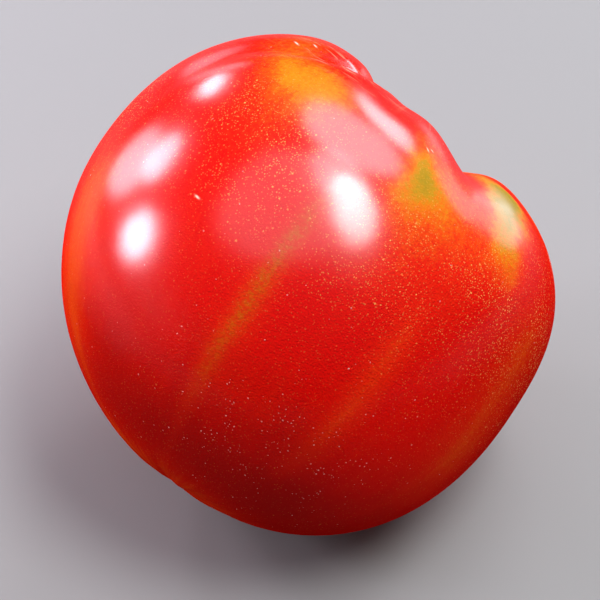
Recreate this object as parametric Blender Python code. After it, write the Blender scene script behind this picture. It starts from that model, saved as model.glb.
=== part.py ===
"""A large ribbed tomato that lies on its side, as one solid.

The fruit is worked out about its stem axis, as the distance from its middle to the skin in every direction: a
squarish shoulder, a rounder blossom end, furrows between the carpels, a cavity with the stem scar at one end and a
puckered blossom scar at the other. It is then laid on its side and flattened a little where it rests.
"""

import math

import bmesh
import bpy
import numpy as np
from mathutils import Matrix, Vector

# The fruit's main measures, in metres.
GIRTH_RADIUS = 0.0551
SHOULDER_HEIGHT = 0.0480
BLOSSOM_DEPTH = 0.0563

# The outline is a superellipse: 2 is round, and more is squarer.
SHOULDER_SQUARENESS = 2.34
BLOSSOM_SQUARENESS = 2.13

# The shoulder half passes into the blossom half over this band of the cosine of the angle from the stem.
HALVES_BLEND = 0.55

# Where the fruit bulges out of round: direction round the axis in degrees, and share of the measure.
GIRTH_BULGES = ((180.0, 1, 0.011), (75.0, 2, -0.018))
SHOULDER_BULGES = ((146.0, 1, 0.088), (-2.0, 2, 0.035))
SQUARENESS_BULGES = ((-24.0, 1, 0.074),)
END_FADE = 0.35
BLOSSOM_BULGES = ((0.0, 1, 0.012),)

# The cavity round the stem: how far it sinks as a share of the height, how wide it opens and how steep it is.
CAVITY_SINK = 0.42
CAVITY_ANGLE = math.radians(21.0)
CAVITY_STEEPNESS = 3.1
CAVITY_SCALLOP = 0.30
CAVITY_SCALLOP_MIDDLE = 0.3

# Furrows between the carpels: direction in degrees, depth as a share of the radius, half width in degrees, how far
# down the side the furrow runs in degrees from the stem, how much it slants, in degrees round for each degree down,
# and how strongly its top bends round the stem. They start at the edge of the stem scar.
FURROWS = (
    (-25.0, 0.021, 11.0, 80.0, -0.10, 0.0),
    (-61.8, 0.103, 19.5, 96.0, -0.30, 0.0),
    (-97.8, 0.021, 12.5, 72.0, 0.0, 0.0),
    (-150.0, 0.031, 9.0, 106.0, -0.30, 2.4),
    (170.0, 0.030, 10.0, 80.0, 0.0, 0.0),
    (121.0, 0.090, 14.0, 92.0, 0.10, 0.0),
    (86.0, 0.030, 11.0, 76.0, 0.0, 0.0),
    (51.0, 0.045, 12.0, 86.0, -0.10, 0.0),
    (12.0, 0.030, 11.0, 80.0, 0.0, 0.0),
)
FURROW_SHARPNESS = 1.7
FURROW_START = math.radians(11.0)
FURROW_FULL = math.radians(30.0)
SLANT_LEVEL = math.radians(60.0)
BEND_HEIGHT = math.radians(24.0)
DEEP_FURROW = 0.05

# The stem scar: a corky disc with a raised edge and a pit where the stalk broke off.
SCAR_EDGE_RADIUS = 0.0056
SCAR_EDGE_WIDTH = 0.0013
SCAR_EDGE_RISE = 0.0009
STALK_PIT_RADIUS = 0.0024
STALK_PIT_DEPTH = 0.0014
STEM_HALF = math.radians(60.0)

# The blossom end: a shallow dimple with small folds round it.
BLOSSOM_DIMPLE = 0.012
BLOSSOM_DIMPLE_ANGLE = math.radians(6.0)
BLOSSOM_FOLD = 0.008
BLOSSOM_FOLD_ANGLE = math.radians(9.0)
BLOSSOM_FOLD_SPREAD = math.radians(6.0)
BLOSSOM_FOLDS = 7

# How the fruit lies: the stem end points up and to the right, and slightly back.
LEAN = math.radians(56.4)
TIP_BACK = math.radians(7.0)
FACING_UP = math.radians(45.0)

# The fruit's middle, seen from the middle of the flat spot that it rests on.
MIDDLE = Vector((0.0016, 0.0052, 0.0539))

# The mesh: columns round the axis and rings from stem to blossom end.
COLUMNS = 96
RINGS = 46
SHOULDER_TOP = math.radians(42.0)
CAVITY_RINGS_SHARE = 0.34

SKIN_RED = (0.62, 0.022, 0.008, 1.0)
SKIN_ROUGHNESS = 0.22

# Keeps a square root from meeting zero.
TINY = 1e-9

# Points nearer to the cutting plane than this, in metres, count as on it.
CUT_TOLERANCE = 1e-7


def smoothstep(low, high, value):
    """0 below low, 1 above high, and an S-curve between them."""
    share = np.clip((value - low) / (high - low), 0.0, 1.0)
    return share * share * (3.0 - 2.0 * share)


def mix(first, second, share):
    return first + (second - first) * share


def bulged(measure, bulges, theta, phi):
    """A measure that swells and shrinks round the axis by a few slow waves, which die out at both ends."""
    away_from_ends = 1.0 - np.exp(-((np.sin(theta) / END_FADE) ** 2))
    swell = 1.0
    for direction, waves, share in bulges:
        swell = swell + share * away_from_ends ** (waves / 2) * np.cos(waves * (phi - math.radians(direction)))
    return measure * swell


def furrow_profile(theta, phi, direction, half_width, slant, bend):
    """1 in the middle of a furrow, and 0 away from it."""
    above_level = np.clip(SLANT_LEVEL - theta, 0.0, BEND_HEIGHT)
    middle = math.radians(direction) + slant * (theta - SLANT_LEVEL) + bend * above_level**2
    chord = np.sqrt(2.0 - 2.0 * np.cos(phi - middle) + TINY)
    return np.exp(-((chord / math.radians(half_width)) ** FURROW_SHARPNESS))


def skin_distance(theta, phi):
    """How far the skin is from the fruit's middle: theta is the angle from the stem, phi goes round the axis."""
    stemward = smoothstep(-HALVES_BLEND, HALVES_BLEND, np.cos(theta))
    shoulder_height = bulged(SHOULDER_HEIGHT, SHOULDER_BULGES, theta, phi)
    blossom_depth = bulged(BLOSSOM_DEPTH, BLOSSOM_BULGES, theta, phi)
    height = mix(blossom_depth, shoulder_height, stemward)
    squareness = bulged(mix(BLOSSOM_SQUARENESS, SHOULDER_SQUARENESS, stemward), SQUARENESS_BULGES, theta, phi)
    girth = bulged(GIRTH_RADIUS, GIRTH_BULGES, theta, phi)
    across = (np.sin(theta) / girth) ** squareness
    along = (np.abs(np.cos(theta)) / height) ** squareness
    outer = (across + along) ** (-1.0 / squareness)

    groove = 0.0
    scallop = 0.0
    for direction, depth, half_width, reach, slant, bend in FURROWS:
        profile = furrow_profile(theta, phi, direction, half_width, slant, bend)
        runs_down = 1.0 - smoothstep(FURROW_FULL, math.radians(reach), theta)
        groove = groove + depth * profile * runs_down
        scallop = scallop + profile * min(depth / DEEP_FURROW, 1.0)
    outside_scar = smoothstep(FURROW_START, FURROW_FULL, theta)
    groove = groove * outside_scar

    opening = CAVITY_ANGLE * (1.0 + CAVITY_SCALLOP * (scallop - CAVITY_SCALLOP_MIDDLE) * outside_scar)
    cavity = CAVITY_SINK * np.exp(-((theta / opening) ** CAVITY_STEEPNESS))

    from_blossom = math.pi - theta
    dimple = BLOSSOM_DIMPLE * np.exp(-((from_blossom / BLOSSOM_DIMPLE_ANGLE) ** 2))
    fold_band = np.exp(-(((from_blossom - BLOSSOM_FOLD_ANGLE) / BLOSSOM_FOLD_SPREAD) ** 2))
    fold_band = fold_band * smoothstep(0.0, BLOSSOM_FOLD_SPREAD, from_blossom)
    fold = BLOSSOM_FOLD * fold_band * (0.5 + 0.5 * np.cos(BLOSSOM_FOLDS * phi))

    distance = outer * (1.0 - groove) * (1.0 - cavity) * (1.0 - dimple - fold)

    from_axis = distance * np.sin(theta)
    scar_edge = SCAR_EDGE_RISE * np.exp(-(((from_axis - SCAR_EDGE_RADIUS) / SCAR_EDGE_WIDTH) ** 2))
    stalk_pit = STALK_PIT_DEPTH * np.exp(-((from_axis / STALK_PIT_RADIUS) ** 2))
    scar = np.where(theta < STEM_HALF, scar_edge - stalk_pit, 0.0)
    return distance + scar


def ring_angles():
    """Angles from the stem for the rings: close together in the cavity, and even over the rest."""
    share = np.linspace(0.0, 1.0, RINGS + 2)[1:-1]
    inner = SHOULDER_TOP * share / CAVITY_RINGS_SHARE
    outer = SHOULDER_TOP + (math.pi - SHOULDER_TOP) * (share - CAVITY_RINGS_SHARE) / (1.0 - CAVITY_RINGS_SHARE)
    return np.where(share < CAVITY_RINGS_SHARE, inner, outer)


def skin_point(theta, phi):
    """The point on the skin in one direction, about the stem axis."""
    distance = float(skin_distance(np.float64(theta), np.float64(phi)))
    sideways = distance * math.sin(theta)
    return Vector((sideways * math.cos(phi), sideways * math.sin(phi), distance * math.cos(theta)))


def fruit_mesh():
    """The closed skin about the stem axis, as rings between two end points."""
    mesh = bmesh.new()
    stem_end = mesh.verts.new(skin_point(0.0, 0.0))
    blossom_end = mesh.verts.new(skin_point(math.pi, 0.0))
    rings = []
    for theta in ring_angles():
        turns = [2.0 * math.pi * column / COLUMNS for column in range(COLUMNS)]
        rings.append([mesh.verts.new(skin_point(theta, phi)) for phi in turns])
    for column in range(COLUMNS):
        after = (column + 1) % COLUMNS
        mesh.faces.new((stem_end, rings[0][column], rings[0][after]))
        mesh.faces.new((blossom_end, rings[-1][after], rings[-1][column]))
        for upper, lower in zip(rings, rings[1:]):
            mesh.faces.new((upper[column], lower[column], lower[after], upper[after]))
    return mesh


def lying_attitude():
    """The turn that lays the fruit down: the stem leans right, tips back, and the side that faces up follows."""
    tip_back = Matrix.Rotation(-TIP_BACK, 4, "X")
    lean = Matrix.Rotation(math.radians(90.0) - LEAN, 4, "Y")
    face_up = Matrix.Rotation(-FACING_UP, 4, "X")
    return face_up @ lean @ tip_back


def flatten_rest_spot(mesh):
    """Cuts the part below the floor off level and closes it, and gives the reach of the flat spot that this leaves."""
    everything = mesh.verts[:] + mesh.edges[:] + mesh.faces[:]
    cut = bmesh.ops.bisect_plane(
        mesh,
        geom=everything,
        dist=CUT_TOLERANCE,
        plane_co=(0.0, 0.0, 0.0),
        plane_no=(0.0, 0.0, -1.0),
        clear_outer=True,
    )
    rim = [item for item in cut["geom_cut"] if isinstance(item, bmesh.types.BMEdge)]
    bmesh.ops.holes_fill(mesh, edges=rim, sides=0)
    corners = {vertex for edge in rim for vertex in edge.verts}
    xs = sorted(vertex.co.x for vertex in corners)
    ys = sorted(vertex.co.y for vertex in corners)
    return xs[0], xs[-1], ys[0], ys[-1]


def skin_material():
    material = bpy.data.materials.new("skin")
    material.use_nodes = True
    shader = material.node_tree.nodes["Principled BSDF"]
    shader.inputs["Base Color"].default_value = SKIN_RED
    shader.inputs["Roughness"].default_value = SKIN_ROUGHNESS
    shader.inputs["Metallic"].default_value = 0.0
    return material


def clear_scene():
    for item in list(bpy.data.objects):
        bpy.data.objects.remove(item)


def build_tomato():
    mesh = fruit_mesh()
    bmesh.ops.transform(mesh, matrix=Matrix.Translation(MIDDLE) @ lying_attitude(), verts=mesh.verts)
    rest_reach = flatten_rest_spot(mesh)
    bmesh.ops.recalc_face_normals(mesh, faces=mesh.faces)
    data = bpy.data.meshes.new("tomato")
    mesh.to_mesh(data)
    mesh.free()
    data.shade_smooth()
    data.materials.append(skin_material())
    tomato = bpy.data.objects.new("tomato", data)
    bpy.context.scene.collection.objects.link(tomato)
    print("rest spot from and to, in mm, along X and then Y:", [round(1000.0 * side, 2) for side in rest_reach])
    return tomato


clear_scene()
build_tomato()
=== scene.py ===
# %% [markdown]
# # A large ribbed tomato on its side
#
# This lesson dresses one fruit. The frame that it starts from is a plain solid with the right size, weight
# and lobes. We keep its measures, grow a finer skin from them with Geometry Nodes, paint that skin with a
# procedural material, and set it on a pale floor under soft studio lights.

# %% The frame
import math

import bpy
from mathutils import Matrix, Vector


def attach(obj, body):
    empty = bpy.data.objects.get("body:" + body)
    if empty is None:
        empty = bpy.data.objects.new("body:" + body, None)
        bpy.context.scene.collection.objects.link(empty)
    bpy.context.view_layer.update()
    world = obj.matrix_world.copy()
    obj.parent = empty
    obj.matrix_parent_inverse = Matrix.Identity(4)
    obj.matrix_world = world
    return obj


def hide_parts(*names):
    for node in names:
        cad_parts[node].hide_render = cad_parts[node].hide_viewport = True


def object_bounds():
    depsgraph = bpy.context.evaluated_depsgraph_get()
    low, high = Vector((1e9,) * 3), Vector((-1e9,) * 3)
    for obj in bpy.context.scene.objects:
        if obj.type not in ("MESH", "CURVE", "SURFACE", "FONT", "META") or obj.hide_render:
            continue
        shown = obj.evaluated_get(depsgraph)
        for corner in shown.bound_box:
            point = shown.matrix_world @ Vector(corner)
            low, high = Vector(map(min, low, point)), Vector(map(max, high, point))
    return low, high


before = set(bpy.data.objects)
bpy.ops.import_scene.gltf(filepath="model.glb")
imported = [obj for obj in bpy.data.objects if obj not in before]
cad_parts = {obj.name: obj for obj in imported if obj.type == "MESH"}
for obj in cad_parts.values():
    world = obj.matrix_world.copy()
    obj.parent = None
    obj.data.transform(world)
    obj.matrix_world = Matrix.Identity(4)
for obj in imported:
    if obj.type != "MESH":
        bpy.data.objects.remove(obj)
cad_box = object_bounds()
print("solid fruit, from and to, in metres:", cad_box)

# %% [markdown]
# ## One way to write sums as nodes
#
# Both Geometry Nodes and shaders are trees of small nodes, and a formula needs dozens of them. Placing each
# by hand would hide the formula. So one class stands for the tree and adds any node, and one small class
# wraps a socket and answers to plus, minus, times and the rest by adding a Math node. After that a formula
# reads like Python.


# %% Bench, the tree to build on
class Bench:
    """A node tree to build on."""

    def __init__(self, tree):
        self.tree = tree

    def node(self, kind, settings=None, values=None, output=0):
        """Adds a node. Its settings come first, because they decide which sockets it has."""
        made = self.tree.nodes.new(kind)
        for name, setting in (settings or {}).items():
            if name == "stops":
                self.set_stops(made.color_ramp, setting)
            else:
                setattr(made, name, setting)
        for key, value in (values or {}).items():
            self.feed(value, made.inputs[key])
        return Wire(self, made.outputs[output])

    def feed(self, value, socket):
        """Links a wire to a socket, or sets a plain number there."""
        if isinstance(value, Wire):
            self.tree.links.new(value.socket, socket)
        else:
            socket.default_value = value

    def set_stops(self, ramp, stops):
        while len(ramp.elements) < len(stops):
            ramp.elements.new(1.0)
        for element, (position, colour) in zip(ramp.elements, stops):
            element.position = position
            element.color = colour

    def math(self, operation, *values):
        return self.node("ShaderNodeMath", {"operation": operation}, dict(enumerate(values)))

    def smoothstep(self, low, high, value):
        """0 below low, 1 above high, and an S-curve between them."""
        settings = {"interpolation_type": "SMOOTHSTEP"}
        return self.node("ShaderNodeMapRange", settings, {"Value": value, "From Min": low, "From Max": high})

    def step_degrees(self, low, high, angle):
        """The same step for an angle, with its limits in degrees."""
        return self.smoothstep(math.radians(low), math.radians(high), angle)

    def vector(self, x, y, z):
        return self.node("ShaderNodeCombineXYZ", values={0: x, 1: y, 2: z})

    def split(self, value):
        """The three parts of a vector."""
        parted = self.node("ShaderNodeSeparateXYZ", values={0: value}).socket.node
        return tuple(Wire(self, output) for output in parted.outputs)

    def vector_math(self, operation, *values):
        return self.node("ShaderNodeVectorMath", {"operation": operation}, dict(enumerate(values)))

    def mix_colours(self, share, first, second):
        settings = {"data_type": "RGBA", "clamp_factor": True}
        return self.node("ShaderNodeMix", settings, {0: share, 6: first, 7: second}, output=2)

    def noise(self, place, size, detail=2.0, roughness=0.5):
        """Cloudy noise about 0.5, with blobs of roughly the given size in metres."""
        values = {"Vector": place, "Scale": 1.0 / size, "Detail": detail, "Roughness": roughness}
        return self.node("ShaderNodeTexNoise", {"noise_dimensions": "3D"}, values)


# %% Wire, a socket that can be used in sums
class Wire:
    """One output socket, which can be used in sums like a number."""

    def __init__(self, bench, socket):
        self.bench = bench
        self.socket = socket

    def __add__(self, other):
        return self.bench.math("ADD", self, other)

    def __radd__(self, other):
        return self.bench.math("ADD", other, self)

    def __sub__(self, other):
        return self.bench.math("SUBTRACT", self, other)

    def __rsub__(self, other):
        return self.bench.math("SUBTRACT", other, self)

    def __mul__(self, other):
        return self.bench.math("MULTIPLY", self, other)

    def __rmul__(self, other):
        return self.bench.math("MULTIPLY", other, self)

    def __truediv__(self, other):
        return self.bench.math("DIVIDE", self, other)

    def __rtruediv__(self, other):
        return self.bench.math("DIVIDE", other, self)

    def __pow__(self, other):
        return self.bench.math("POWER", self, other)

    def __neg__(self):
        return self.bench.math("MULTIPLY", self, -1.0)

    def exp(self):
        return self.bench.math("EXPONENT", self)

    def sin(self):
        return self.bench.math("SINE", self)

    def cos(self):
        return self.bench.math("COSINE", self)

    def clamp(self):
        """The value, held between 0 and 1."""
        return self.bench.math("MINIMUM", self.bench.math("MAXIMUM", self, 0.0), 1.0)


# %% [markdown]
# A few shapes of curve come up again and again, for lobes as well as for colours. A bell curve marks a place
# and fades away from it. The squared chord between two directions stands in for the angle between them,
# because an angle jumps where the turn is complete and a chord doesn't.


# %% Curves
def bell(value, middle, spread):
    """1 where the value meets the middle, and a smooth bell away from it."""
    return (-(((value - middle) / spread) ** 2.0)).exp()


def bell_degrees(angle, middle, spread):
    """The same bell for an angle, with its middle and spread in degrees."""
    return bell(angle, math.radians(middle), math.radians(spread))


def chord_squared(angle):
    """The squared straight distance across a circle of radius 1 between two directions."""
    return 2.0 - 2.0 * angle.cos()


def mix(share, first, second):
    """Numbers from first to second as share goes from 0 to 1."""
    return first + (second - first) * share


def rise(levels, amount):
    """A number that starts at the first level and gains the second as amount goes from 0 to 1."""
    start, gain = levels
    return start + gain * amount


trial_tree = bpy.data.node_groups.new("trial", "ShaderNodeTree")
bell(Bench(trial_tree).node("ShaderNodeValue"), 0.5, 0.1)
print("nodes that a value and one bell curve take:", len(trial_tree.nodes))
bpy.data.node_groups.remove(trial_tree)

# %% [markdown]
# ## The skin as a rule
#
# A tomato is worked out about the line from its stem to its blossom scar. Every spot on the skin is then one
# distance from the middle of the fruit, in a direction given by two angles: how far down from the stem,
# which we call theta, and how far round, which we call phi. The skin could be sculpted, but its lobes,
# furrows and hollow follow such a rule, so a Geometry Nodes tree can write them down. The measures are those
# that the solid was built from, so the skin lands on it.
#
# The body comes first. It has a squarish shoulder half and a rounder blossom half, and slow waves round the
# axis make it uneven, as a big tomato is.

# %% The body
# Sizes are in metres and directions in degrees.
GIRTH_RADIUS = 0.0551
SHOULDER_HEIGHT = 0.0480
BLOSSOM_DEPTH = 0.0563
SHOULDER_SQUARENESS = 2.34
BLOSSOM_SQUARENESS = 2.13
HALVES_BLEND = 0.55

# Slow waves round the axis: direction, waves in one turn, share of the measure.
GIRTH_BULGES = ((180.0, 1, 0.011), (75.0, 2, -0.018))
SHOULDER_BULGES = ((146.0, 1, 0.088), (-2.0, 2, 0.035))
BLOSSOM_BULGES = ((0.0, 1, 0.012),)
SQUARENESS_BULGES = ((-24.0, 1, 0.074),)
END_FADE = 0.35


def bulged(measure, bulges, theta, phi):
    """A measure that swells and shrinks round the axis by a few slow waves, which die out at both ends."""
    away_from_ends = 1.0 - bell(theta.sin(), 0.0, END_FADE)
    swell = 1.0
    for direction, waves, share in bulges:
        wave = ((phi - math.radians(direction)) * waves).cos()
        swell = swell + share * away_from_ends ** (waves / 2) * wave
    return measure * swell


def body_distance(bench, measures, theta, phi):
    """The distance without furrows or hollow: two superellipse halves that blend at the girth."""
    stemward = bench.smoothstep(-HALVES_BLEND, HALVES_BLEND, theta.cos())
    shoulder_height = bulged(measures["Shoulder height"], SHOULDER_BULGES, theta, phi)
    blossom_depth = bulged(measures["Blossom depth"], BLOSSOM_BULGES, theta, phi)
    height = mix(stemward, blossom_depth, shoulder_height)
    even_squareness = mix(stemward, measures["Blossom squareness"], measures["Shoulder squareness"])
    squareness = bulged(even_squareness, SQUARENESS_BULGES, theta, phi)
    girth = bulged(measures["Girth radius"], GIRTH_BULGES, theta, phi)
    across = (theta.sin() / girth) ** squareness
    along = (bench.math("ABSOLUTE", theta.cos()) / height) ** squareness
    return (across + along) ** (-1.0 / squareness)


print("body, from stem end to blossom end, in metres:", SHOULDER_HEIGHT + BLOSSOM_DEPTH)

# %% [markdown]
# The furrows between the lobes come next. Each starts at the stem and runs down the side until it dies out.
# Some slant, and one bends aside near the top. A furrow also pulls the rim of the stem cavity outwards, which
# scallops it.

# %% Furrows
# Furrows: direction, depth as a share of the distance, half width, reach down the side, slant, top bend.
FURROWS = (
    (-25.0, 0.021, 11.0, 80.0, -0.10, 0.0),
    (-61.8, 0.103, 19.5, 96.0, -0.30, 0.0),
    (-97.8, 0.021, 12.5, 72.0, 0.0, 0.0),
    (-150.0, 0.031, 9.0, 106.0, -0.30, 2.4),
    (170.0, 0.030, 10.0, 80.0, 0.0, 0.0),
    (121.0, 0.090, 14.0, 92.0, 0.10, 0.0),
    (86.0, 0.030, 11.0, 76.0, 0.0, 0.0),
    (51.0, 0.045, 12.0, 86.0, -0.10, 0.0),
    (12.0, 0.030, 11.0, 80.0, 0.0, 0.0),
)
FURROW_SHARPNESS = 1.7
FURROW_START = math.radians(11.0)
FURROW_FULL = math.radians(30.0)
SLANT_LEVEL = math.radians(60.0)
BEND_HEIGHT = math.radians(24.0)
DEEP_FURROW = 0.05
CAVITY_SCALLOP = 0.30
CAVITY_SCALLOP_MIDDLE = 0.3
# Keeps a square root's content above zero, where rounding could take it below.
ABOVE_ZERO = 1e-7


def furrow_profile(theta, phi, direction, half_width, slant, bend):
    """1 in the middle of a furrow, and 0 away from it."""
    middle = math.radians(direction) + slant * (theta - SLANT_LEVEL)
    if bend:
        above_level = theta.bench.math("MAXIMUM", SLANT_LEVEL - theta, 0.0)
        above_level = theta.bench.math("MINIMUM", above_level, BEND_HEIGHT)
        middle = middle + bend * above_level**2.0
    chord = (chord_squared(phi - middle) + ABOVE_ZERO) ** 0.5
    return (-((chord / math.radians(half_width)) ** FURROW_SHARPNESS)).exp()


def furrows(bench, theta, phi):
    """How deep the furrows cut, as a share of the distance, and how they scallop the cavity's rim."""
    groove = 0.0
    scallop = 0.0
    for direction, depth, half_width, reach, slant, bend in FURROWS:
        profile = furrow_profile(theta, phi, direction, half_width, slant, bend)
        runs_down = 1.0 - bench.smoothstep(FURROW_FULL, math.radians(reach), theta)
        groove = groove + depth * profile * runs_down
        scallop = scallop + profile * min(depth / DEEP_FURROW, 1.0)
    outside_scar = bench.smoothstep(FURROW_START, FURROW_FULL, theta)
    return groove * outside_scar, CAVITY_SCALLOP * (scallop - CAVITY_SCALLOP_MIDDLE) * outside_scar


print("furrows:", len(FURROWS))

# %% [markdown]
# Both ends have a shape of their own. The stem sits in a hollow with the stalk's scar at its bottom, which
# has a raised edge and a small pit. The blossom end has a shallow dimple with a ring of puckers.

# %% Both ends
CAVITY_SINK = 0.42
CAVITY_ANGLE = math.radians(21.0)
CAVITY_STEEPNESS = 3.1

SCAR_EDGE_RADIUS = 0.0056
SCAR_EDGE_WIDTH = 0.0013
SCAR_EDGE_RISE = 0.0009
STALK_PIT_RADIUS = 0.0024
STALK_PIT_DEPTH = 0.0014
STEM_HALF = math.radians(60.0)

BLOSSOM_DIMPLE = 0.012
BLOSSOM_DIMPLE_ANGLE = math.radians(6.0)
BLOSSOM_FOLD = 0.008
BLOSSOM_FOLD_ANGLE = math.radians(9.0)
BLOSSOM_FOLD_SPREAD = math.radians(6.0)
BLOSSOM_FOLDS = 7


def cavity_depth(measures, theta, scallop):
    """How far the stem cavity sinks, as a share of the distance."""
    opening = measures["Cavity angle"] * (1.0 + scallop)
    return measures["Cavity sink"] * (-((theta / opening) ** CAVITY_STEEPNESS)).exp()


def left_at_blossom(bench, theta, phi):
    """The share of the distance that the dimple and the puckers leave."""
    from_blossom = math.pi - theta
    dimple = BLOSSOM_DIMPLE * bell(from_blossom, 0.0, BLOSSOM_DIMPLE_ANGLE)
    fold_band = bell(from_blossom, BLOSSOM_FOLD_ANGLE, BLOSSOM_FOLD_SPREAD)
    fold_band = fold_band * bench.smoothstep(0.0, BLOSSOM_FOLD_SPREAD, from_blossom)
    fold = BLOSSOM_FOLD * fold_band * (0.5 + 0.5 * (phi * BLOSSOM_FOLDS).cos())
    return 1.0 - dimple - fold


def stem_scar_rise(bench, theta, distance):
    """The raised edge of the stalk's scar, less the pit in its middle, in metres."""
    from_axis = distance * theta.sin()
    scar_edge = SCAR_EDGE_RISE * bell(from_axis, SCAR_EDGE_RADIUS, SCAR_EDGE_WIDTH)
    stalk_pit = STALK_PIT_DEPTH * bell(from_axis, 0.0, STALK_PIT_RADIUS)
    near_stem = bench.math("LESS_THAN", theta, STEM_HALF)
    return (scar_edge - stalk_pit) * near_stem


def skin_distance(bench, measures, theta, phi):
    """How far the skin is from the fruit's middle, and how deep in a furrow the place is."""
    body = body_distance(bench, measures, theta, phi)
    groove, scallop = furrows(bench, theta, phi)
    cavity = cavity_depth(measures, theta, scallop)
    distance = body * (1.0 - groove) * (1.0 - cavity) * left_at_blossom(bench, theta, phi)
    return distance + stem_scar_rise(bench, theta, distance), groove


print("stem cavity, half its opening in degrees:", round(math.degrees(CAVITY_ANGLE), 1))

# %% [markdown]
# ## The skin tree
#
# The tree starts from a round ball with many rings, reads the two angles of each point, works out the
# distance and moves the point there. It stores where each point is about the fruit's own axis, and how deep
# in a furrow, which the material reads later. Then it lays the fruit on its side and presses it flat where it
# rests. The tree has named inputs for the main sizes, so the fruit can be made taller, rounder or more hollow
# from the modifier panel. Its ripple is a noise that gives the same answer every time, so it needs no seed.
# The attitude is worked out once in Python and handed to a Transform Geometry node.

# %% Attitude and sizes
LEAN = math.radians(56.4)
TIP_BACK = math.radians(7.0)
FACING_UP = math.radians(45.0)
# The fruit's middle once it lies down, and the height of the skin's fine ripple, in metres.
MIDDLE = Vector((0.0016, 0.0052, 0.0539))
RIPPLE = 0.00008

SIZES = {
    "Girth radius": GIRTH_RADIUS,
    "Shoulder height": SHOULDER_HEIGHT,
    "Blossom depth": BLOSSOM_DEPTH,
    "Shoulder squareness": SHOULDER_SQUARENESS,
    "Blossom squareness": BLOSSOM_SQUARENESS,
    "Cavity sink": CAVITY_SINK,
    "Cavity angle": CAVITY_ANGLE,
    "Skin ripple": RIPPLE,
}


def lying_attitude():
    """The turn that lays the fruit down: the stem leans right, tips back, and the upper side is turned up."""
    tip_back = Matrix.Rotation(-TIP_BACK, 4, "X")
    lean = Matrix.Rotation(math.radians(90.0) - LEAN, 4, "Y")
    face_up = Matrix.Rotation(-FACING_UP, 4, "X")
    return face_up @ lean @ tip_back


stem_direction = lying_attitude() @ Vector((0.0, 0.0, 1.0))
print("the stem points to:", [round(part, 3) for part in stem_direction])

# %% The skin tree
COLUMNS = 440
RINGS = 214
REST_SOFTNESS = 0.0004
SKIN_INSET = 0.00006
RIPPLE_SIZE = 0.009
RIPPLE_DETAIL = 3.0


def store(bench, geometry, kind, name, value):
    """Keeps a value at each point under a name, where the material can read it."""
    settings = {"data_type": kind, "domain": "POINT"}
    values = {"Geometry": geometry, "Name": name, "Value": value}
    return bench.node("GeometryNodeStoreNamedAttribute", settings, values)


def grow_from_ball(bench, measures):
    """The skin about the fruit's own axis, with its middle at the origin."""
    ball = bench.node("GeometryNodeMeshUVSphere", values={"Segments": COLUMNS, "Rings": RINGS, "Radius": 1.0})
    start = bench.node("GeometryNodeInputPosition")
    direction = bench.vector_math("NORMALIZE", start)
    x, y, z = bench.split(direction)
    theta = bench.math("ARCCOSINE", z)
    phi = bench.math("ARCTAN2", y, x)

    distance, groove = skin_distance(bench, measures, theta, phi)
    ripple = bench.noise(direction, RIPPLE_SIZE / GIRTH_RADIUS, detail=RIPPLE_DETAIL)
    distance = distance - SKIN_INSET - measures["Skin ripple"] * ripple
    place = bench.vector_math("SCALE", direction)
    bench.feed(distance, place.socket.node.inputs["Scale"])

    grown = bench.node("GeometryNodeSetPosition", values={"Geometry": ball, "Position": place})
    own_place = bench.node("GeometryNodeInputPosition")
    grown = store(bench, grown, "FLOAT_VECTOR", "fruit_place", own_place)
    return store(bench, grown, "FLOAT", "furrow_depth", groove)


def lay_down(bench, grown):
    """Turns the fruit, lifts it to its place and presses it softly flat at floor level."""
    turn = lying_attitude().to_euler()
    laid = bench.node(
        "GeometryNodeTransform", values={"Geometry": grown, "Translation": MIDDLE, "Rotation": turn}
    )
    east, north, up = bench.split(bench.node("GeometryNodeInputPosition"))
    pressed = 0.5 * (up + (up * up + REST_SOFTNESS * REST_SOFTNESS) ** 0.5)
    flat = bench.vector(east, north, pressed)
    return bench.node("GeometryNodeSetPosition", values={"Geometry": laid, "Position": flat})


def skin_tree(material):
    """A tree that grows the whole skin: the input sockets' identifiers come back with it."""
    tree = bpy.data.node_groups.new("tomato skin", "GeometryNodeTree")
    tree.interface.new_socket("Geometry", in_out="INPUT", socket_type="NodeSocketGeometry")
    identifiers = {}
    for name in SIZES:
        socket = tree.interface.new_socket(name, in_out="INPUT", socket_type="NodeSocketFloat")
        identifiers[name] = socket.identifier
    tree.interface.new_socket("Geometry", in_out="OUTPUT", socket_type="NodeSocketGeometry")

    bench = Bench(tree)
    entry = tree.nodes.new("NodeGroupInput")
    measures = {name: Wire(bench, entry.outputs[name]) for name in SIZES}
    resting = lay_down(bench, grow_from_ball(bench, measures))
    smooth = bench.node("GeometryNodeSetShadeSmooth", values={"Geometry": resting, "Shade Smooth": True})
    real = bench.node("GeometryNodeRealizeInstances", values={"Geometry": smooth})
    dressed = bench.node("GeometryNodeSetMaterial", values={"Geometry": real, "Material": material})
    leave = tree.nodes.new("NodeGroupOutput")
    bench.feed(dressed, leave.inputs["Geometry"])
    return tree, identifiers


print("skin cells:", COLUMNS * RINGS)

# %% [markdown]
# ## What ripens when
#
# A tomato ripens from its blossom end up. The shoulders round the stem come last, so they stay orange, gold
# or olive while the rest is deep red. One number, how unripe a spot is, is worked out from soft patches on
# the shoulders and the seams between the carpels. A colour ramp then turns that number into red, orange, gold
# and olive. Painting an image would do the same, but it would blur up close and could not be reused.


# %% Colours of ripening
def tone(red, green, blue):
    """A colour given as a screen would show it, from 0 to 255, as the linear colour that a shader takes."""
    linear = []
    for part in (red, green, blue):
        share = part / 255.0
        linear.append(share / 12.92 if share <= 0.04045 else ((share + 0.055) / 1.055) ** 2.4)
    return (*linear, 1.0)


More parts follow.
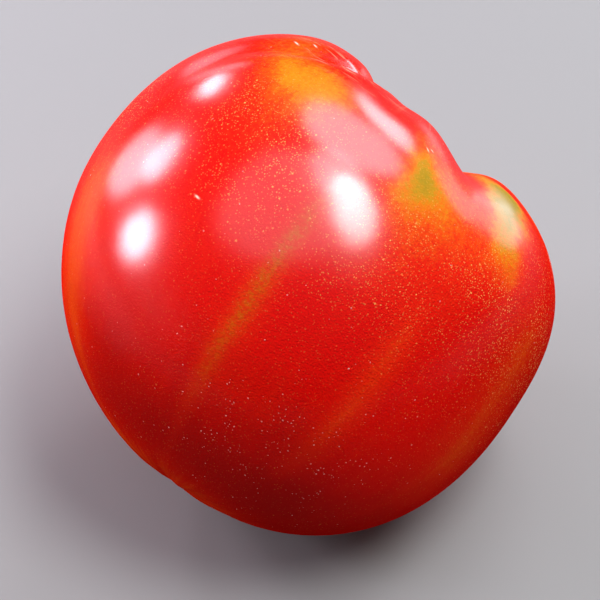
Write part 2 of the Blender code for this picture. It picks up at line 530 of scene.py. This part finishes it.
RIPENESS_STOPS = (
    (0.00, tone(216, 7, 2)),
    (0.20, tone(224, 30, 4)),
    (0.42, tone(228, 76, 8)),
    (0.62, tone(218, 118, 12)),
    (0.80, tone(188, 134, 18)),
    (1.00, tone(160, 132, 24)),
)
print("ripeness steps:", len(RIPENESS_STOPS))

# %% [markdown]
# Every mask needs to know where it is on the fruit, so one class reads the stored place and works out the two
# angles. Real patches have ragged edges. So the class also keeps a bent copy of both angles, pushed about by
# slow noise, and the distance to a patch is measured with those.

# %% Where a spot lies
WANDER_SIZE = 0.016
WANDER_ROUND_SIZE = 0.018
# The second noise is read elsewhere, so that the two pushes differ.
ASIDE = (0.3, 0.1, 0.7)
BEND_DOWN = 0.34
BEND_ROUND = 0.36
CLOUD_SIZE = 0.022
JITTER_SIZE = 0.0004
STREAK_RADIUS = 0.030
STRIPE_SIZE = 0.0024
STRIPE_STRETCH = 0.0035
SHOULDER_FADE = (60.0, 130.0)


def streak_place(bench, theta, phi, stretch):
    """Where to read noise that changes fast round the axis and slowly down it, which makes streaks."""
    return bench.vector(phi.cos() * STREAK_RADIUS, phi.sin() * STREAK_RADIUS, theta * stretch)


class Spot:
    """Where a point of the skin lies about the fruit's own axis, as wires for the shader's sums."""

    def __init__(self, bench):
        self.place = bench.node("ShaderNodeAttribute", {"attribute_name": "fruit_place"}, output=1)
        x, y, self.up_axis = bench.split(self.place)
        self.from_axis = (x * x + y * y) ** 0.5
        reach = (x * x + y * y + self.up_axis * self.up_axis) ** 0.5
        self.theta = bench.math("ARCCOSINE", self.up_axis / reach)
        self.phi = bench.math("ARCTAN2", y, x)
        self.wander = bench.noise(self.place, WANDER_SIZE, detail=4.0, roughness=0.6) - 0.5
        aside = bench.vector_math("ADD", self.place, ASIDE)
        wander_round = bench.noise(aside, WANDER_ROUND_SIZE, detail=4.0, roughness=0.6) - 0.5
        self.bent_theta = self.theta + BEND_DOWN * self.wander
        self.bent_phi = self.phi + BEND_ROUND * wander_round
        self.shoulder = 1.0 - bench.step_degrees(*SHOULDER_FADE, self.bent_theta)
        along = streak_place(bench, self.theta, self.phi, STRIPE_STRETCH)
        self.stripes = bench.noise(along, STRIPE_SIZE, detail=4.0, roughness=0.65)
        self.clouds = bench.noise(self.place, CLOUD_SIZE)
        jitter = bench.noise(self.place, JITTER_SIZE, detail=1.0)
        self.jitter = Wire(bench, jitter.socket.node.outputs["Color"])


print("patch edges wander by up to, in degrees:", round(math.degrees(BEND_ROUND / 2), 1))

# %% Unripe patches
# Patches: degrees down from the stem and round it, spreads down and round, and how unripe they are.
UNRIPE_PATCHES = (
    (61.0, -79.5, 7.0, 7.0, 0.54),
    (53.0, -62.0, 7.0, 8.0, 0.16),
    (50.0, -84.0, 6.0, 7.0, 0.26),
    (69.0, -81.5, 11.0, 8.0, 0.48),
    (83.0, -79.0, 10.0, 9.0, 0.12),
    (64.0, -69.0, 9.0, 9.0, 0.36),
    (76.0, -65.0, 12.0, 10.0, 0.14),
    (41.0, -38.0, 9.0, 8.5, 1.2),
    (52.0, -46.0, 8.0, 7.5, 0.90),
    (64.0, -51.0, 10.0, 7.0, 0.60),
    (56.0, -113.0, 8.0, 9.0, 0.46),
    (57.0, -127.0, 8.0, 11.0, 0.50),
    (50.0, -138.0, 9.0, 10.0, 0.26),
    (72.0, -118.0, 12.0, 11.0, 0.14),
    (65.0, -114.0, 7.0, 10.0, 0.24),
    (42.0, -146.0, 9.0, 14.0, 0.26),
    (45.0, 150.0, 19.0, 20.0, 0.46),
    (54.0, 108.0, 19.0, 20.0, 0.50),
    (50.0, 67.0, 17.0, 18.0, 0.46),
    (52.0, 30.0, 19.0, 18.0, 0.56),
    (44.0, -4.0, 15.0, 14.0, 0.50),
)
# The stem cavity is unripe all round, and that fades out between two angles.
CAVITY_UNRIPE = 0.72
CAVITY_FADE = (12.0, 36.0)


def patches(bench, spot):
    """How unripe the patches on the shoulders and the stem cavity make a spot."""
    amount = 0.0
    for down, round_, spread_down, spread_round, strength in UNRIPE_PATCHES:
        across = chord_squared(spot.bent_phi - math.radians(round_)) / math.radians(spread_round) ** 2
        along = ((spot.bent_theta - math.radians(down)) / math.radians(spread_down)) ** 2.0
        amount = amount + strength * (-(across + along)).exp()
    cavity = 1.0 - bench.step_degrees(*CAVITY_FADE, spot.bent_theta)
    return amount + CAVITY_UNRIPE * cavity


print("unripe patches:", len(UNRIPE_PATCHES))

# %% [markdown]
# Where two carpels meet, the skin keeps a faint seam. Most are only a dull band, a little less ripe than the
# red beside it, but one shows as a narrow olive line of small specks. One broad band low on the left limb is
# partly a seam and partly painted light: its orange stands in for light bounced onto that side. A seam is a
# bell curve round the axis, cut off by two soft steps where it begins and ends.

# %% Seams
SEAM_OLIVE = tone(180, 98, 2)
# Broad seams and one band of painted bounce light: share, direction, slant, half width, and where they begin
# and end, in degrees down.
SEAM_BANDS_AND_BOUNCE_GLOW = (
    (0.15, -97.2, -0.05, 4.5, 94.0, 152.0),
    (0.22, -66.0, 0.05, 4.0, 90.0, 132.0),
    (0.26, -30.0, 0.10, 9.0, 72.0, 124.0),
    # Partly a seam and partly painted light: this broad band makes the low left limb orange, for bounced
    # light.
    (0.34, -153.0, -0.10, 14.0, 92.0, 158.0),
    (0.18, 76.0, 0.0, 8.0, 84.0, 140.0),
)
# The olive line: direction, slant, half width, beginning and end.
OLIVE_SEAM = (-97.0, -0.05, 2.2, 83.0, 124.0)
OLIVE_SHARE = 0.42
OLIVE_RISE = (0.5, 0.9)
SPECK_STEP = (0.42, 0.60)
SEAM_WANDER = 0.05
SEAM_LEVEL = math.radians(90.0)
SEAM_FADE_IN = 10.0
SEAM_FADE_OUT = 16.0


def seam(bench, spot, direction, slant, width, begin, end):
    """1 along a line that runs down the side, and 0 away from it."""
    middle = math.radians(direction) + slant * (spot.theta - SEAM_LEVEL)
    line = bell(spot.phi - middle + SEAM_WANDER * spot.wander, 0.0, math.radians(width))
    starts = bench.step_degrees(begin - SEAM_FADE_IN, begin + SEAM_FADE_IN, spot.theta)
    stops = 1.0 - bench.step_degrees(end - SEAM_FADE_OUT, end + SEAM_FADE_OUT, spot.theta)
    return line * starts * stops


def seam_bands_and_bounce_glow(bench, spot):
    """How unripe the broad seams make a spot, with the painted bounce light on the left limb."""
    amount = 0.0
    for share, *course in SEAM_BANDS_AND_BOUNCE_GLOW:
        amount = amount + share * seam(bench, spot, *course)
    return amount


def olive_line(bench, spot, mottle):
    """The share of olive in the one narrow seam, broken up by the fine mottle of the skin."""
    specks = rise(OLIVE_RISE, bench.smoothstep(*SPECK_STEP, mottle + 0.5))
    return (OLIVE_SHARE * seam(bench, spot, *OLIVE_SEAM) * specks).clamp()


print("seams:", len(SEAM_BANDS_AND_BOUNCE_GLOW) + 1)

# %% [markdown]
# Where the shoulder folds over towards the cavity the skin was stretched as it grew. That left fine pale
# lines which run round the stem, and a few streaks down the furrows. The skin tree stored how deep each point
# lies in a furrow, so the material knows where those go.

# %% Pale creases
CREASE_PALE = tone(246, 170, 130)
CREASE_NOISE = {"detail": 3.0, "roughness": 0.6}
# Lines round the stem, which show in one fold: its degrees down and round, each with a spread.
LINE_STRETCH = 0.0032
LINE_SIZE = 0.0010
LINE_STEP = (0.54, 0.66)
LINE_SHARE = 0.6
FOLD_DOWN = (41.0, 7.0)
FOLD_ROUND = (-124.0, 22.0)
# Streaks down the furrows near the cavity.
STREAK_STRETCH = 0.0020
STREAK_SIZE = 0.0012
STREAK_STEP = (0.52, 0.68)
STREAK_SHARE = 0.12
IN_FURROW_DEPTH = (0.006, 0.020)
NEAR_CAVITY_FADE = (34.0, 52.0)


def pale_creases(bench, spot):
    """The share of pale skin in the lines round the stem and the streaks down the furrows."""
    round_stem = bench.vector(spot.theta * STREAK_RADIUS, spot.phi * LINE_STRETCH, 0.5)
    lines = bench.smoothstep(*LINE_STEP, bench.noise(round_stem, LINE_SIZE, **CREASE_NOISE))
    fold = bell_degrees(spot.bent_theta, *FOLD_DOWN) * bell_degrees(spot.phi, *FOLD_ROUND)
    down_furrow = streak_place(bench, spot.theta, spot.phi, STREAK_STRETCH)
    streaks = bench.smoothstep(*STREAK_STEP, bench.noise(down_furrow, STREAK_SIZE, **CREASE_NOISE))
    depth = bench.node("ShaderNodeAttribute", {"attribute_name": "furrow_depth"}, output=2)
    in_furrow = bench.smoothstep(*IN_FURROW_DEPTH, depth)
    near_cavity = 1.0 - bench.step_degrees(*NEAR_CAVITY_FADE, spot.theta)
    return (LINE_SHARE * fold * lines + STREAK_SHARE * in_furrow * near_cavity * streaks).clamp()


print("creases round the stem, degrees down and round:", FOLD_DOWN[0], FOLD_ROUND[0])

# %% [markdown]
# Tiny golden flecks come from a Voronoi pattern: one grain in each cell, and each cell draws a lot from its
# random colour to decide whether its grain shows. They crowd in a ring round the shoulders, in cloudy groups,
# and thin out elsewhere. Scattered points would do too, but thousands of them would make the file heavy.

# %% Flecks
FLECK_GOLD = tone(252, 186, 96)
FLECK_JITTER = 0.0004
# Grains: spacing and radius in metres, softness of the edge, and where in the pattern they are read.
FINE_GOLD = (0.00050, 0.00019, 0.6, (0.0, 0.0, 0.0))
BOLD_GOLD = (0.00120, 0.00025, 0.6, (0.2, 0.5, 0.1))
# Each pair is a start and what crowding, or a grain's own lot, adds to it.
FINE_SHARE = (0.40, 0.60)
FINE_STRENGTH = (0.12, 0.56)
BOLD_SHARE = (0.08, 0.84)
BOLD_STRENGTH = (0.24, 0.70)
CROWD_RISE = (0.3, 0.9)
GRAIN_STRENGTH = (0.4, 0.6)
GRAIN_REACH = (0.6, 0.6)
CROWD_ASIDE = (0.9, 0.4, 0.2)
CROWD_SIZE = 0.012
CROWD_STEP = (0.32, 0.62)
CROWDED_RING = (76.0, 20.0)
SPARSE_SIDE = (-146.0, 16.0)
SPARSENESS = 0.7


def flecks(bench, spot, grains, share):
    """Small ragged grains of varied strength, about one for each cube of the spacing."""
    spacing, radius, softness, shift = grains
    ragged = bench.vector_math("SUBTRACT", spot.jitter, (0.5, 0.5, 0.5))
    pushed = bench.vector_math("MULTIPLY", ragged, (FLECK_JITTER, FLECK_JITTER, FLECK_JITTER))
    place = bench.vector_math("ADD", bench.vector_math("ADD", spot.place, shift), pushed)
    grain = bench.node("ShaderNodeTexVoronoi", {"feature": "F1"}, {"Vector": place, "Scale": 1.0 / spacing})
    cell_colour = Wire(bench, grain.socket.node.outputs["Color"])
    parted = bench.node("ShaderNodeSeparateColor", values={0: cell_colour}).socket.node
    showing_lot, strength_lot, reach_lot = (Wire(bench, parted.outputs[index]) for index in range(3))
    shows = bench.math("LESS_THAN", showing_lot, share)
    strength = rise(GRAIN_STRENGTH, strength_lot)
    reach = rise(GRAIN_REACH, reach_lot) * (radius / spacing)
    return (1.0 - bench.smoothstep(reach * (1.0 - softness), reach, grain)) * shows * strength


def golden_flecks(bench, spot):
    """Fine and bold flecks, more of both where the shoulders crowd them."""
    crowd_place = bench.vector_math("ADD", spot.place, CROWD_ASIDE)
    crowd = bench.smoothstep(*CROWD_STEP, bench.noise(crowd_place, CROWD_SIZE))
    crowding = bell_degrees(spot.bent_theta, *CROWDED_RING) * rise(CROWD_RISE, crowd)
    crowding = crowding * (1.0 - SPARSENESS * bell_degrees(spot.phi, *SPARSE_SIDE))
    fine = flecks(bench, spot, FINE_GOLD, rise(FINE_SHARE, crowding))
    bold = flecks(bench, spot, BOLD_GOLD, rise(BOLD_SHARE, crowding))
    return (fine * rise(FINE_STRENGTH, crowding) + bold * rise(BOLD_STRENGTH, crowding)).clamp()


print("fine and bold flecks, spacing in metres:", FINE_GOLD[0], BOLD_GOLD[0])

# %% [markdown]
# Garden fruit is never spotless. Dust clings to the lower side in loose clusters of tiny pale specks. The
# same grains make it, with other numbers.

# %% Dust
DUST = tone(236, 180, 172)
DUST_SPECKS = (0.00075, 0.00018, 0.5, (0.7, 0.3, 0.8))
STRAY_DUST = (0.00240, 0.00022, 0.5, (0.4, 0.1, 0.6))
# Dusty sides: degrees down and its spread, degrees round and its spread.
DUSTY_SIDES = ((136.0, 14.0, -84.0, 22.0), (132.0, 14.0, -52.0, 14.0))
CLUSTER_SIZE = 0.0042
CLUSTER_STEP = (0.46, 0.62)
CLEAN_SHARE = 0.012
DUSTY_SHARE = 0.75
STRAY_SHARE = 0.20
SPECK_STRENGTH = 1.3
STRAY_STRENGTH = 0.8


def dust(bench, spot):
    """Clusters of specks on the dusty sides, and a few stray ones all over."""
    dusty = 0.0
    for down, spread_down, round_, spread_round in DUSTY_SIDES:
        low = bell_degrees(spot.bent_theta, down, spread_down)
        dusty = dusty + low * bell_degrees(spot.bent_phi, round_, spread_round)
    clusters = bench.smoothstep(*CLUSTER_STEP, bench.noise(spot.place, CLUSTER_SIZE))
    specks = flecks(bench, spot, DUST_SPECKS, CLEAN_SHARE + DUSTY_SHARE * dusty * clusters)
    stray = flecks(bench, spot, STRAY_DUST, STRAY_SHARE)
    return (SPECK_STRENGTH * specks + STRAY_STRENGTH * stray).clamp()


print("dusty sides:", len(DUSTY_SIDES))

# %% [markdown]
# There are also a few short scuffs where the skin healed. Each one is a thin line laid on the skin in its own
# direction: a long bell curve along it and a narrow one across.

# %% Scuffs
SCUFF = tone(250, 205, 180)
FRUIT_REACH = 0.055
# Scuffs: degrees down and round, turn in degrees, half length and half width in metres.
SCUFFS = (
    (53.0, -81.5, 40.0, 0.0006, 0.00018),
    (52.0, -80.0, 60.0, 0.0004, 0.00016),
    (95.5, -121.0, 80.0, 0.0006, 0.00020),
    (44.0, -145.0, 82.0, 0.0008, 0.00022),
    (40.5, -141.0, 78.0, 0.0007, 0.00020),
    (55.0, -16.0, 8.0, 0.0022, 0.00028),
    (84.0, 64.0, 40.0, 0.0016, 0.00022),
    (70.0, 118.0, 75.0, 0.0012, 0.00020),
    (112.0, 20.0, 15.0, 0.0014, 0.00022),
)
SCUFF_GRAIN = 0.0006
SCUFF_RAGGEDNESS = (0.7, 1.2)


def scuffs(bench, spot):
    """The share of healed skin, which the noise frays at the edges."""
    ragged = bench.noise(spot.place, SCUFF_GRAIN)
    amount = 0.0
    for down, round_, turn, half_length, half_width in SCUFFS:
        span = FRUIT_REACH * (spot.theta - math.radians(down))
        sideways = FRUIT_REACH * math.sin(math.radians(down)) * (spot.phi - math.radians(round_)).sin()
        run = span * math.cos(math.radians(turn)) + sideways * math.sin(math.radians(turn))
        drift = sideways * math.cos(math.radians(turn)) - span * math.sin(math.radians(turn))
        line = bell(run, 0.0, half_length) * bell(drift, 0.0, half_width)
        near = bench.math("GREATER_THAN", (spot.phi - math.radians(round_)).cos(), 0.0)
        amount = amount + line * near
    return (amount * rise(SCUFF_RAGGEDNESS, ragged)).clamp()


print("scuffs:", len(SCUFFS))

# %% [markdown]
# The stalk leaves a scar of dry brown cork with a dark pit, and the flower leaves a small brown point at the
# other end. Cork is rough and has no waxy coat, so the same masks steer the gloss too.

# %% Scars
CORK = tone(150, 112, 70)
CORK_DARK = tone(84, 58, 36)
CORK_GRAIN = 0.0012
RAGGED_EDGE = 0.0022
# Distances from the axis, in metres, between which each scar fades out.
STEM_CORK_EDGE = (0.0056, 0.0072)
PIT_EDGE = (0.0010, 0.0030)
BLOSSOM_EDGE = (0.0010, 0.0020)
CORK_STEP = (0.35, 0.65)
PIT_SHADE = 0.8


class Scars:
    """The masks of both scars, and their colours."""

    def __init__(self, bench, spot):
        self.grain = bench.noise(spot.place, CORK_GRAIN, detail=6.0, roughness=0.7)
        stem_side = bench.math("GREATER_THAN", spot.up_axis, 0.0)
        ragged = spot.from_axis + RAGGED_EDGE * (self.grain - 0.5)
        stem = (1.0 - bench.smoothstep(*STEM_CORK_EDGE, ragged)) * stem_side
        blossom = (1.0 - bench.smoothstep(*BLOSSOM_EDGE, ragged)) * (1.0 - stem_side)
        self.pit = (1.0 - bench.smoothstep(*PIT_EDGE, ragged)) * stem_side
        self.dry = (stem + blossom).clamp()

    def paint(self, bench, colour):
        cork = bench.mix_colours(bench.smoothstep(*CORK_STEP, self.grain), CORK_DARK, CORK)
        cork = bench.mix_colours(self.pit * PIT_SHADE, cork, CORK_DARK)
        return bench.mix_colours(self.dry, colour, cork)


print("stem scar, across in metres:", 2 * STEM_CORK_EDGE[0])

# %% [markdown]
# ## The skin material
#
# Now the masks come together. First the colour: how unripe a spot is goes through the ripeness ramp. The red
# is painted deeper towards the blossom end, which lies low: that is painted shade of the lower side. The
# blossom end also has yellowish puckers. Olive line, pale creases, flecks, dust, scuffs and cork are laid
# over that in turn.

# %% The colour of the skin
# A deeper red towards the blossom end, which lies low: painted shade of the lower side.
LOW_SIDE_SHADE_RED = tone(154, 5, 2)
LOW_SIDE_SHADE_SHARE = 0.85
LOW_SIDE_SHADE_FADE = (111.0, 150.0)
CLOUD_SHARE = 0.18
CLOUD_LEVEL = 0.46
STRIPE_SHARE = 0.20
MOTTLE_SIZE = 0.0009
MOTTLE_RISE = (0.14, 0.40)
PUCKER_SHARE = 0.36
PUCKER_FADE = (150.0, 168.0)
PUCKER_RISE = (0.4, 0.8)
# How fully each of these layers covers what lies under it.
FLECK_SHARE = 0.85
DUST_SHARE = 0.7
SCUFF_SHARE = 0.9


def ripening_colour(bench, spot, mottle):
    """Red, orange, gold or olive, by how unripe the spot is, with painted shade deepening the low blossom
    end.
    """
    unripe = patches(bench, spot) + seam_bands_and_bounce_glow(bench, spot)
    unripe = unripe + CLOUD_SHARE * (spot.clouds - CLOUD_LEVEL) + STRIPE_SHARE * (spot.stripes - 0.5)
    unripe = unripe + mottle * rise(MOTTLE_RISE, spot.shoulder)
    puckers = PUCKER_SHARE * bench.step_degrees(*PUCKER_FADE, spot.theta)
    unripe = unripe + puckers * rise(PUCKER_RISE, spot.stripes)
    colour = bench.node("ShaderNodeValToRGB", {"stops": RIPENESS_STOPS}, {"Fac": unripe.clamp()})
    # Painted shade: the red deepens towards the low blossom end.
    deep = LOW_SIDE_SHADE_SHARE * bench.step_degrees(*LOW_SIDE_SHADE_FADE, spot.bent_theta)
    return bench.mix_colours(deep * (1.0 - unripe).clamp(), colour, LOW_SIDE_SHADE_RED)


def skin_colour(bench, spot, gold, dusty, healed, scars):
    """The whole colour, with everything that lies on the flesh."""
    mottle = bench.noise(spot.place, MOTTLE_SIZE, detail=3.0, roughness=0.7) - 0.5
    colour = ripening_colour(bench, spot, mottle)
    layers = (
        (olive_line(bench, spot, mottle), SEAM_OLIVE),
        (pale_creases(bench, spot), CREASE_PALE),
        (FLECK_SHARE * gold, FLECK_GOLD),
        (DUST_SHARE * dusty, DUST),
        (SCUFF_SHARE * healed, SCUFF),
    )
    for share, paint in layers:
        colour = bench.mix_colours(share, colour, paint)
    return scars.paint(bench, colour)


print("deepest red, as linear colour:", [round(part, 3) for part in LOW_SIDE_SHADE_RED[:3]])

# %% [markdown]
# Tomato skin is a soft red body under a thin clear wax. Here the body has no mirror of its own, and all the
# gloss comes from the coat, so one weight steers it. The wax is thicker on the shoulders and uneven from
# place to place, and the lower side looks dull, as it does on a fruit that lies on dark ground. A fine bump
# gives the grainy edges that highlights have.

# %% Wax and grain
THICK_WAX = 0.26
THIN_WAX = 0.16
WAX_ROUGHNESS = 0.21
WAX_MIRROR = 4.0
BODY_MIRROR = 1.45
DULL_BELOW = 0.064
GLOSSY_ABOVE = 0.088
DULL_EDGE_WANDER = 0.010
WAX_LEFT_BELOW = 0.08
WAX_UNDER_DUST = 0.6
SHOULDER_WAX_FADE = (70.0, 84.0)
# Wax that is thicker or worn thinner: degrees down and round, spreads down and round, and how much.
WAX_PATCHES = (
    (100.0, -139.0, 24.0, 30.0, 0.5),
    (53.0, -43.0, 9.0, 10.0, 3.2),
    (53.0, -79.0, 7.0, 9.0, -1.2),
)
GRAIN_SIZE = 0.00040
SWELL_SIZE = 0.0040
BUMP_DEPTH = 0.00010
# Heights in bump depths.
GRAIN_HEIGHT = 3.0
SWELL_HEIGHT = 1.2
FLECK_HEIGHT = 0.4
DUST_HEIGHT = 0.5
SCUFF_DEPTH = 0.5
CORK_HEIGHT = 3.0


def wax_coat(bench, spot, dusty, scars):
    """The weight of the clear coat."""
    waxy = 1.0 - bench.step_degrees(*SHOULDER_WAX_FADE, spot.bent_theta)
    above_floor = bench.split(bench.node("ShaderNodeTexCoord", output=3))[2]
    lit_side = bench.smoothstep(DULL_BELOW, GLOSSY_ABOVE, above_floor + DULL_EDGE_WANDER * spot.wander)
    for down, round_, spread_down, spread_round, extra in WAX_PATCHES:
        patch = bell_degrees(spot.theta, down, spread_down)
        waxy = waxy + extra * patch * bell_degrees(spot.phi, round_, spread_round)
    coat = (THIN_WAX + (THICK_WAX - THIN_WAX) * waxy) * (WAX_LEFT_BELOW + (1.0 - WAX_LEFT_BELOW) * lit_side)
    return (1.0 - scars.dry) * (1.0 - WAX_UNDER_DUST * dusty) * coat


def skin_relief(bench, spot, gold, dusty, healed, scars):
    """The fine bump: grain and slow swell everywhere, raised flecks, dust and cork, and sunken scuffs."""
    grain = bench.noise(spot.place, GRAIN_SIZE)
    swell = bench.noise(spot.place, SWELL_SIZE)
    relief = GRAIN_HEIGHT * grain + SWELL_HEIGHT * swell
    relief = relief + FLECK_HEIGHT * gold + DUST_HEIGHT * dusty - SCUFF_DEPTH * healed
    relief = relief + scars.dry * scars.grain * CORK_HEIGHT
    return bench.node("ShaderNodeBump", values={"Strength": 1.0, "Distance": BUMP_DEPTH, "Height": relief})


print("wax patches:", len(WAX_PATCHES))


# %% The skin material
BODY_ROUGHNESS = 0.44
CLOUDY_ROUGHNESS = 0.10
DUSTY_ROUGHNESS = 0.25
CORK_ROUGHNESS = 0.85


def skin_material():
    """The whole material: a colour, a roughness, a coat weight and a normal that vary, and four constants."""
    material = bpy.data.materials.new("tomato skin")
    material.use_nodes = True
    bench = Bench(material.node_tree)
    sockets = material.node_tree.nodes["Principled BSDF"].inputs
    spot = Spot(bench)
    scars = Scars(bench, spot)
    gold = golden_flecks(bench, spot)
    dusty = dust(bench, spot)
    healed = scuffs(bench, spot)

    roughness = BODY_ROUGHNESS + CLOUDY_ROUGHNESS * (spot.clouds - 0.5) + DUSTY_ROUGHNESS * dusty
    bench.feed(skin_colour(bench, spot, gold, dusty, healed, scars), sockets["Base Color"])
    bench.feed(mix(scars.dry, roughness, CORK_ROUGHNESS), sockets["Roughness"])
    bench.feed(wax_coat(bench, spot, dusty, scars), sockets["Coat Weight"])
    bench.feed(skin_relief(bench, spot, gold, dusty, healed, scars), sockets["Normal"])
    sockets["Coat Roughness"].default_value = WAX_ROUGHNESS
    sockets["Coat IOR"].default_value = WAX_MIRROR
    sockets["IOR"].default_value = BODY_MIRROR
    sockets["Specular IOR Level"].default_value = 0.0
    print("skin material nodes:", len(material.node_tree.nodes))
    return material


skin_paint = skin_material()

# %% [markdown]
# ## Growing the skin
#
# The tree runs as a modifier on an empty mesh. Its inputs are set by their identifiers, the result is read
# back as a plain mesh, and that mesh takes the place of the solid.


# %% Growing the skin
def grow_skin(material):
    seed_mesh = bpy.data.meshes.new("skin seed")
    skin = bpy.data.objects.new("tomato_skin", seed_mesh)
    bpy.context.scene.collection.objects.link(skin)
    tree, identifiers = skin_tree(material)
    modifier = skin.modifiers.new("skin", "NODES")
    modifier.node_group = tree
    for name, size in SIZES.items():
        modifier[identifiers[name]] = size
    graph = bpy.context.evaluated_depsgraph_get()
    plain = bpy.data.meshes.new_from_object(skin.evaluated_get(graph), depsgraph=graph)
    skin.modifiers.remove(modifier)
    skin.data = plain
    return skin


skin = grow_skin(skin_paint)
print("skin triangles:", sum(len(face.vertices) - 2 for face in skin.data.polygons))
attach(skin, "root")
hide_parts("tomato")

# %% [markdown]
# ## Floor, lights and camera
#
# The floor is a plain pale sheet, large enough that its edge stays out of sight.

# %% Floor
FLOOR_HALF = 3.0
FLOOR_GREY = (0.27, 0.27, 0.265, 1.0)
FLOOR_ROUGHNESS = 0.8


def make_floor():
    mesh = bpy.data.meshes.new("floor")
    corners = [(x * FLOOR_HALF, y * FLOOR_HALF, 0.0) for x, y in ((-1, -1), (1, -1), (1, 1), (-1, 1))]
    mesh.from_pydata(corners, [], [(0, 1, 2, 3)])
    floor = bpy.data.objects.new("floor", mesh)
    bpy.context.scene.collection.objects.link(floor)
    material = bpy.data.materials.new("floor")
    material.use_nodes = True
    shader = material.node_tree.nodes["Principled BSDF"]
    shader.inputs["Base Color"].default_value = FLOOR_GREY
    shader.inputs["Roughness"].default_value = FLOOR_ROUGHNESS
    mesh.materials.append(material)
    return floor


make_floor()
print("floor, across in metres:", 2 * FLOOR_HALF)

# %% [markdown]
# A curved glossy fruit mirrors each lamp at one spot of its skin, so a lamp's direction says where its
# highlight falls, and its size says how large that is. A long bright panel high in front gives the main
# highlight, and three broad ones round it and behind give the haze about that. Small panels low on the left
# and behind, tinted like a summer sky, give the glints along the shoulders. The side fill only brightens the
# red on the left: it is hidden from reflections, so it adds no highlight of its own.

# %% Lights
FRUIT_HEART = Vector((0.0, 0.0, 0.054))
WHITE = (1.0, 1.0, 1.0)
COOL = (0.92, 0.92, 1.0)
LAVENDER = (0.94, 0.86, 1.0)
# Lamps: name, direction, direction of the width, distance, width and height in metres, power, tint.
LAMPS = (
    ("key", (0.335, -0.24, 0.915), (0.28, -0.92, -0.30), 0.8, 0.41, 0.29, 4.5, WHITE),
    ("key veil", (0.25, -0.06, 0.97), (0.28, -0.92, -0.30), 0.8, 0.52, 0.36, 1.6, COOL),
    ("overhead", (-0.12, -0.20, 0.97), (1.0, 0.0, 0.0), 0.9, 1.0, 0.7, 2.1, COOL),
    ("haze", (0.38, 0.47, 0.80), (0.64, 0.44, -0.60), 0.8, 0.62, 0.58, 3.7, COOL),
    ("left core", (-0.765, 0.46, 0.45), (-0.60, -0.77, -0.20), 0.6, 0.145, 0.15, 0.87, LAVENDER),
    ("left veil", (-0.80, 0.57, 0.20), (-0.55, -0.61, -0.58), 0.6, 0.20, 0.27, 1.15, LAVENDER),
    ("left lower", (-0.955, 0.09, 0.30), (-0.20, -0.92, -0.33), 0.6, 0.155, 0.20, 1.70, LAVENDER),
    ("side fill", (-0.97, -0.20, 0.14), (0.20, -0.97, 0.0), 0.9, 0.8, 0.25, 1.6, WHITE),
    ("left back", (-0.41, 0.85, 0.35), (0.82, 0.13, 0.56), 0.6, 0.085, 0.20, 0.68, LAVENDER),
    ("back left", (-0.28, 0.96, 0.09), (-0.80, -0.27, 0.53), 0.6, 0.10, 0.18, 0.14, LAVENDER),
    ("right back", (0.53, 0.78, 0.35), (0.55, -0.62, 0.55), 0.7, 0.28, 0.17, 1.10, COOL),
    ("right low", (0.73, 0.68, 0.02), (0.60, -0.66, 0.45), 0.45, 0.25, 0.12, 0.17, COOL),
    ("right glint", (0.54, 0.83, -0.10), (-0.84, 0.54, 0.0), 0.32, 0.08, 0.05, 0.02, COOL),
)
HIDDEN_FROM_REFLECTIONS = ("side fill",)


def panel(name, direction, along, distance, width, height, power, tint):
    """A soft oval light that faces the fruit from one direction. Its width runs along the second one."""
    light = bpy.data.lights.new(name, "AREA")
    light.shape = "ELLIPSE"
    light.size = width
    light.size_y = height
    light.energy = power
    light.color = tint
    lamp = bpy.data.objects.new(name, light)
    bpy.context.scene.collection.objects.link(lamp)
    away = Vector(direction).normalized()
    lamp.location = FRUIT_HEART + away * distance
    upright = away.cross(Vector(along)).normalized()
    sideways = upright.cross(away)
    lamp.rotation_euler = Matrix((sideways, upright, away)).transposed().to_euler()
    lamp.visible_glossy = name not in HIDDEN_FROM_REFLECTIONS
    return lamp


for lamp_row in LAMPS:
    panel(*lamp_row)
print("lamps:", len(LAMPS))

# %% [markdown]
# A little bluish light from all round keeps the shadows from going black, as open sky does outdoors.

# %% Light from all round
SKY_TINT = (0.75, 0.80, 0.90, 1.0)
SKY_STRENGTH = 0.06

world = bpy.data.worlds.new("studio")
world.use_nodes = True
background = world.node_tree.nodes["Background"]
background.inputs["Color"].default_value = SKY_TINT
background.inputs["Strength"].default_value = SKY_STRENGTH
bpy.context.scene.world = world
print("light from all round:", SKY_STRENGTH)

# %% [markdown]
# The camera looks down at the fruit from just under half a metre, with a long lens that keeps its outline
# true. It aims at the middle of the solid, a little aside, so that the fruit fills the view.

# %% Camera
CAMERA_ELEVATION = math.radians(45.0)
CAMERA_DISTANCE = 0.45
CAMERA_LENS = 118.9
CAMERA_SENSOR = 36.0
CAMERA_ASIDE = -0.0018
CAMERA_LOWER = -0.0040


def make_camera(box):
    camera = bpy.data.cameras.new("camera")
    camera.lens = CAMERA_LENS
    camera.sensor_width = CAMERA_SENSOR
    holder = bpy.data.objects.new("camera", camera)
    bpy.context.scene.collection.objects.link(holder)
    low, high = (Vector(corner) for corner in box)
    middle = (low + high) / 2
    towards = Vector((0.0, -math.cos(CAMERA_ELEVATION), math.sin(CAMERA_ELEVATION)))
    across = Vector((1.0, 0.0, 0.0))
    upwards = towards.cross(across)
    holder.location = middle + towards * CAMERA_DISTANCE + across * CAMERA_ASIDE + upwards * CAMERA_LOWER
    holder.rotation_euler = (math.radians(90.0) - CAMERA_ELEVATION, 0.0, 0.0)
    bpy.context.scene.camera = holder
    return holder


camera_holder = make_camera(cad_box)
bpy.context.scene.view_settings.view_transform = "Standard"
print("camera at, in metres:", [round(part, 4) for part in camera_holder.location])
